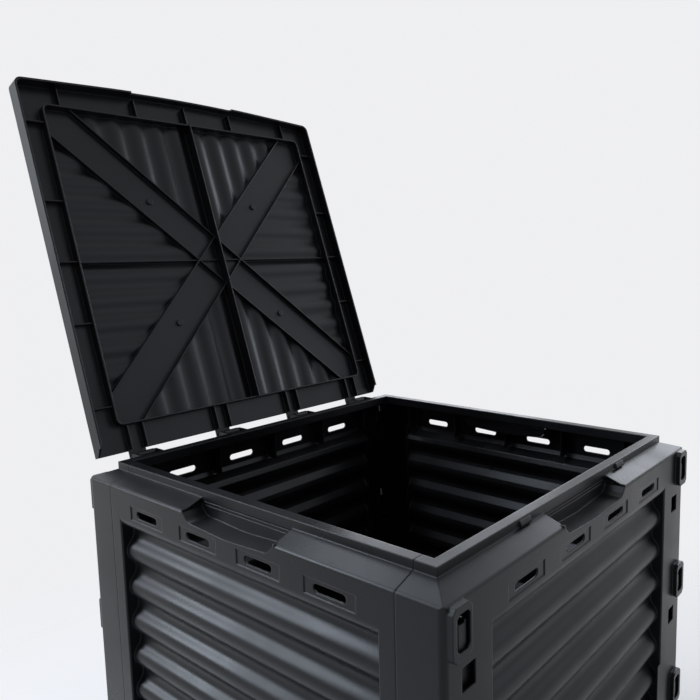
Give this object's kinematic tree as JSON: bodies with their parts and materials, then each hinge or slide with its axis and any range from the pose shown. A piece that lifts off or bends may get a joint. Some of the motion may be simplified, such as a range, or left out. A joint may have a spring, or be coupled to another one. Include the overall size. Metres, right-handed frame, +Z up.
{
  "type": "compost bin",
  "caption": "Square moulded compost bin with wavy snap-together walls, a ribbed lid hinged at the back rim and a sliding harvest door.",
  "frame": {"origin": "on the ground under the middle of the front wall's foot; the middle of the square footprint is 0.295 m behind it", "axes": "+Z up, the wall with the harvest door toward -Y, the lid hinge toward +Y, +X to the right seen from the front"},
  "size_m": [0.61, 0.8328, 1.3705],
  "materials": {
    "bin_plastic": "satin moulded polypropylene, charcoal black",
    "lid_plastic": "satin moulded polypropylene, charcoal black",
    "pin_plastic": "smooth moulded plastic, black"
  },
  "bodies": {
    "bin": {"left_panel": "bin_plastic", "right_panel": "bin_plastic", "front_panel": "bin_plastic", "back_panel": "bin_plastic", "lid_hinge_pin_1": "pin_plastic", "lid_hinge_pin_2": "pin_plastic", "lid_hinge_pin_3": "pin_plastic", "lid_hinge_pin_4": "pin_plastic"},
    "lid": {"lid": "lid_plastic"},
    "door": {"harvest_door": "lid_plastic"}
  },
  "joints": [
    {"name": "lid_hinge", "type": "hinge", "parent": "bin", "child": "lid", "pos_m": [0, 0.5962, 0.8073], "axis": [1, 0, 0], "range_deg": [0, 109]},
    {"name": "door_slide", "type": "slide", "parent": "bin", "child": "door", "axis": [0, 0, 1], "range_m": [0, 0.21]}
  ]
}
